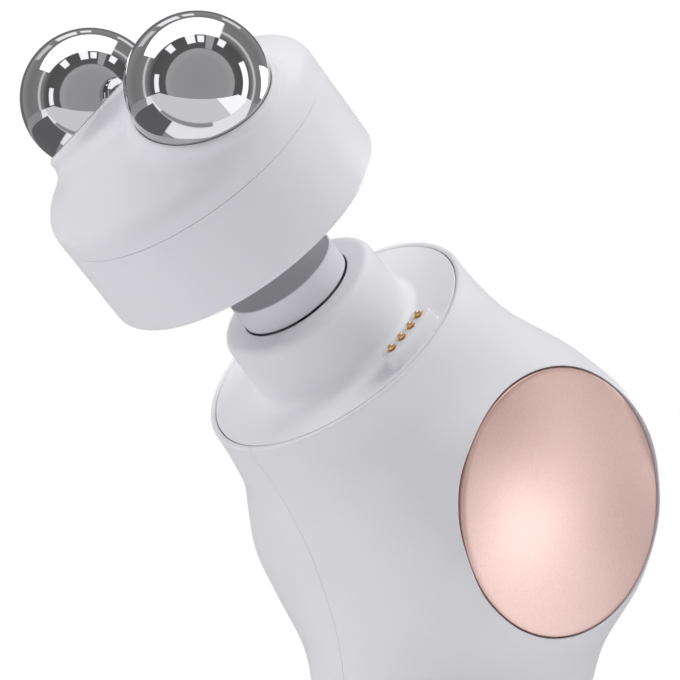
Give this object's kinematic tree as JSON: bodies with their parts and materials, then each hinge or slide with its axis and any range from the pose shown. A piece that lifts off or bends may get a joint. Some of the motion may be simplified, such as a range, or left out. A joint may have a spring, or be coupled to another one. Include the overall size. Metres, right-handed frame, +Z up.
{
  "type": "facial toning device",
  "caption": "Hand-held facial toning device: tilted round head with a percussion plunger, side electrode plates, and a lift-off toning ring with ball electrodes.",
  "frame": {"origin": "centre of the rubber foot's lower face", "axes": "+Z up from the foot, -Y to the front, where the head looks; +X to the side with the contact pins"},
  "size_m": [0.0612, 0.1082, 0.153],
  "materials": {
    "body_white": "satin pearl white",
    "ring_white": "satin white",
    "plunger_white": "satin light grey",
    "button_white": "satin white",
    "rose_metal": "fine blasted rose",
    "ball_chrome": "mirror polish",
    "gold": "gold plated",
    "bronze": "sintered",
    "copper_winding": "enamelled wire",
    "steel": "plain",
    "plunger_steel": "satin grey",
    "rotor_steel": "laminated",
    "panel_gloss": "gloss black",
    "display_glass": "smoked",
    "circuit_board": "solder mask",
    "dark_plastic": "plain",
    "rod_plastic": "acetal",
    "cell_sleeve": "heat-shrink sleeve",
    "foot_rubber": "silicone grey"
  },
  "bodies": {
    "handle": {"right_shell": "body_white", "left_shell": "body_white", "face_plate": "body_white", "right_side_plate": "rose_metal", "left_side_plate": "rose_metal", "shell_screws": "steel", "control_panel": "panel_gloss", "display_window": "display_glass", "display_module": "circuit_board", "button_board": "circuit_board", "button_switches": "dark_plastic", "main_board": "circuit_board", "board_chips": "dark_plastic", "battery_cell": "cell_sleeve", "battery_cradle": "dark_plastic", "charge_socket": "steel", "inlet_board": "circuit_board", "foot_pad": "foot_rubber", "motor_housing": "steel", "motor_stator": "copper_winding", "motor_bracket": "steel", "bracket_screws": "steel", "shaft_bushing": "bronze", "dust_seal": "foot_rubber", "plate_magnets": "steel", "pin_barrels": "gold", "contact_board": "circuit_board"},
    "crank": {"motor_rotor": "rotor_steel", "motor_shaft": "steel", "crank_wheel": "bronze", "crank_pin": "steel"},
    "plunger": {"plunger_shaft": "steel", "plunger_cap": "plunger_white", "cap_magnet": "plunger_steel", "wrist_pin": "steel"},
    "rod": {"connecting_rod": "rod_plastic"},
    "pin_1": {"contact_pin_1": "gold"},
    "pin_2": {"contact_pin_2": "gold"},
    "pin_3": {"contact_pin_3": "gold"},
    "pin_4": {"contact_pin_4": "gold"},
    "percussion_button": {"percussion_button": "button_white"},
    "mode_button": {"mode_button": "button_white"},
    "toning_ring": {"ring_base": "ring_white", "ring_cover": "ring_white", "right_ball": "ball_chrome", "left_ball": "ball_chrome", "ring_steel": "steel", "ring_board": "circuit_board", "contact_block": "dark_plastic", "contact_pads": "gold"}
  },
  "joints": [
    {"name": "ring_lift", "type": "slide", "parent": "handle", "child": "toning_ring", "axis": [0, -0.7071, 0.7071], "range_m": [-0.02685, 0]},
    {"name": "plunger_slide", "type": "slide", "parent": "handle", "child": "plunger", "axis": [0, -0.7071, 0.7071], "range_m": [-0.0035, 0]},
    {"name": "rod_swing", "type": "hinge", "parent": "plunger", "child": "rod", "pos_m": [0, -0.01622, 0.09422], "axis": [1, 0, 0], "range_deg": [-6.7, 6.7]},
    {"name": "crank_spin", "type": "hinge", "parent": "handle", "child": "crank", "pos_m": [0, -0.00438, 0.08238], "axis": [1, 0, 0], "continuous": true},
    {"name": "pin_1_press", "type": "slide", "parent": "handle", "child": "pin_1", "axis": [0, -0.7071, 0.7071], "range_m": [-0.0008, 0], "stiffness_N_per_m": 750},
    {"name": "pin_2_press", "type": "slide", "parent": "handle", "child": "pin_2", "axis": [0, -0.7071, 0.7071], "range_m": [-0.0008, 0], "stiffness_N_per_m": 750},
    {"name": "pin_3_press", "type": "slide", "parent": "handle", "child": "pin_3", "axis": [0, -0.7071, 0.7071], "range_m": [-0.0008, 0], "stiffness_N_per_m": 750},
    {"name": "pin_4_press", "type": "slide", "parent": "handle", "child": "pin_4", "axis": [0, -0.7071, 0.7071], "range_m": [-0.0008, 0], "stiffness_N_per_m": 750},
    {"name": "percussion_button_press", "type": "slide", "parent": "handle", "child": "percussion_button", "axis": [0, -1, 0], "range_m": [0, 0.0005], "stiffness_N_per_m": 2000},
    {"name": "mode_button_press", "type": "slide", "parent": "handle", "child": "mode_button", "axis": [0, -1, 0], "range_m": [0, 0.0005], "stiffness_N_per_m": 2000}
  ]
}
